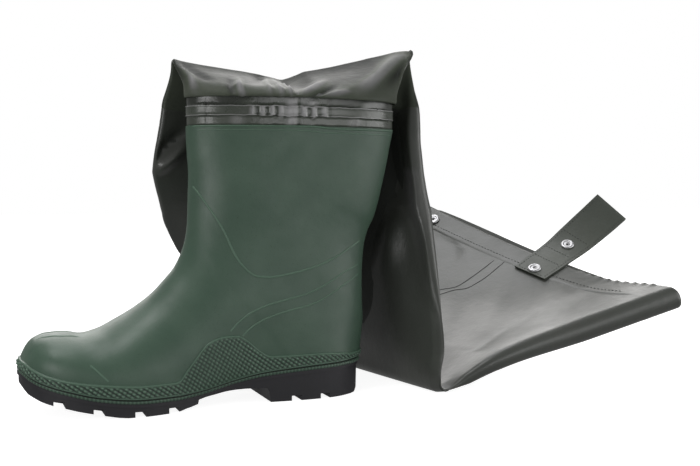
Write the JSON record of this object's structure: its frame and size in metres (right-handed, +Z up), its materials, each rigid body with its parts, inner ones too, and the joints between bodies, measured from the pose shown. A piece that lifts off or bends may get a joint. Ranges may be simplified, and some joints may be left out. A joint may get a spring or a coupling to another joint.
{
  "type": "hip wader boot",
  "caption": "Moulded rubber boot with a lugged heel and a folded thigh-high shaft of coated fabric, a hem strap and snaps.",
  "frame": {"origin": "centre of the heel's rest face, on the floor", "axes": "+X from toe to heel, -Y towards the outer side of the foot, +Z up"},
  "size_m": [0.6754, 0.3138, 0.3236],
  "materials": {
    "green_rubber": "satin moulded dark green",
    "black_rubber": "matt black",
    "grey_insole": "matt felt",
    "coated_fabric": "glossy plastic-coated olive grey",
    "strap_fabric": "doubled coated fabric, satin",
    "snap_steel": "bright plated"
  },
  "bodies": {
    "root": {"outsole": "black_rubber", "upper": "green_rubber", "insole": "grey_insole", "shaft": "coated_fabric", "strap": "strap_fabric", "snap_1": "snap_steel", "snap_2": "snap_steel", "snap_3": "snap_steel"}
  },
  "joints": []
}
